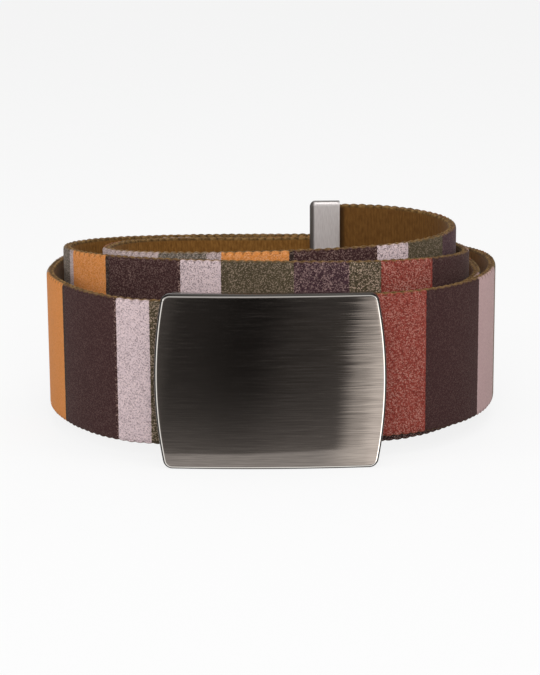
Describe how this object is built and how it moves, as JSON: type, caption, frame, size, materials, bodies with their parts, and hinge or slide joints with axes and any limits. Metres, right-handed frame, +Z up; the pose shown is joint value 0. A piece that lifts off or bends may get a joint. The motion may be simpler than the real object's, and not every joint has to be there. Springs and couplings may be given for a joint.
{
  "type": "elastic belt",
  "caption": "Striped elastic web belt rolled into a standing coil, fastened with a brushed metal plate buckle and ending in a metal tip.",
  "frame": {"origin": "on the resting surface, under the middle of the coil's bounding box", "axes": "+Z up, +X along the buckle plate to the viewer's right, +Y from the buckle towards the back of the coil"},
  "size_m": [0.1244, 0.1212, 0.0559],
  "materials": {
    "striped_webbing": "woven elastic webbing printed with upright stripes in orange, dark brown, pink, olive, plum and rust, tan on the inner face",
    "brushed_plate": "dark nickel plate brushed along its length, with bright edges",
    "buckle_bracket": "plain satin nickel",
    "satin_tip": "light satin nickel"
  },
  "bodies": {
    "root": {"elastic_strap": "striped_webbing", "buckle_plate": "brushed_plate", "buckle_frame": "buckle_bracket", "end_tip": "satin_tip"}
  },
  "joints": []
}
